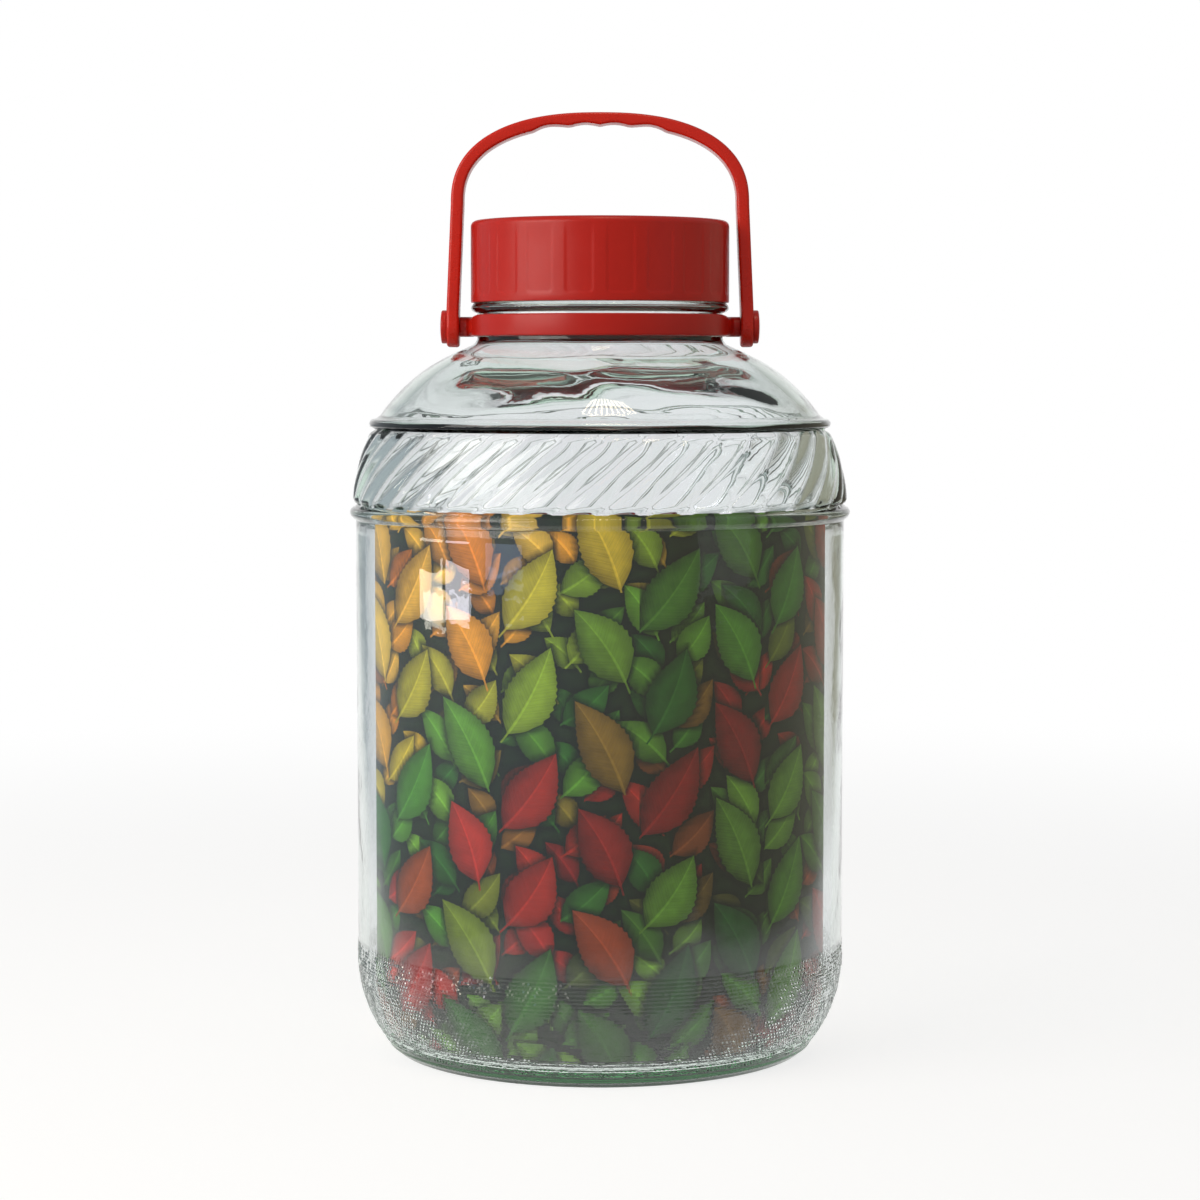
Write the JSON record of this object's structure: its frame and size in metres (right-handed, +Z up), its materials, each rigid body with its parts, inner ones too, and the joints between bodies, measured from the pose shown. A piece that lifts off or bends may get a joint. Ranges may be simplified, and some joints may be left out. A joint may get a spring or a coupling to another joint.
{
  "type": "glass jar",
  "caption": "Large glass storage jar with a fluted band, a red screw cap with a sealing disc, a neck collar with a swinging carrying handle and a picture card inside.",
  "frame": {"origin": "centre of the base, on the surface the jar stands on", "axes": "+Z up through the mouth, X along the handle's pivot pins, the front of the picture card faces -Y"},
  "size_m": [0.2536, 0.2536, 0.4733],
  "materials": {
    "clear_glass": "clear pressed glass with a faint green tint, smooth, with a stippled heel",
    "printed_card": "thin coated card with a coloured print, satin",
    "white_foam": "soft white sealing liner",
    "red_cap": "glossy red moulded plastic",
    "red_collar": "glossy red moulded plastic",
    "red_handle": "glossy red moulded plastic",
    "red_pin": "glossy red moulded plastic"
  },
  "bodies": {
    "jar": {"glass_jar": "clear_glass", "printed_card": "printed_card"},
    "seal": {"sealing_disc": "white_foam"},
    "cap": {"screw_cap": "red_cap"},
    "collar": {"neck_collar": "red_collar", "pivot_pin_left": "red_pin", "pivot_pin_right": "red_pin"},
    "handle": {"carry_handle": "red_handle"}
  },
  "joints": [
    {"name": "cap_lift", "type": "slide", "parent": "jar", "child": "seal", "axis": [0, 0, 1], "range_m": [0, 0.012]},
    {"name": "cap_turn", "type": "hinge", "parent": "seal", "child": "cap", "pos_m": [0, 0, 0.4], "axis": [0, 0, 1], "range_deg": [0, 540]},
    {"name": "collar_turn", "type": "hinge", "parent": "jar", "child": "collar", "pos_m": [0, 0, 0.36612], "axis": [0, 0, 1], "continuous": true},
    {"name": "handle_swing", "type": "hinge", "parent": "collar", "child": "handle", "pos_m": [0, 0, 0.36612], "axis": [1, 0, 0], "range_deg": [-99, 99]}
  ],
  "couplings": [
    {"joint": "cap_lift", "follows": "cap_turn", "m_per_rad": 0.0012732}
  ]
}
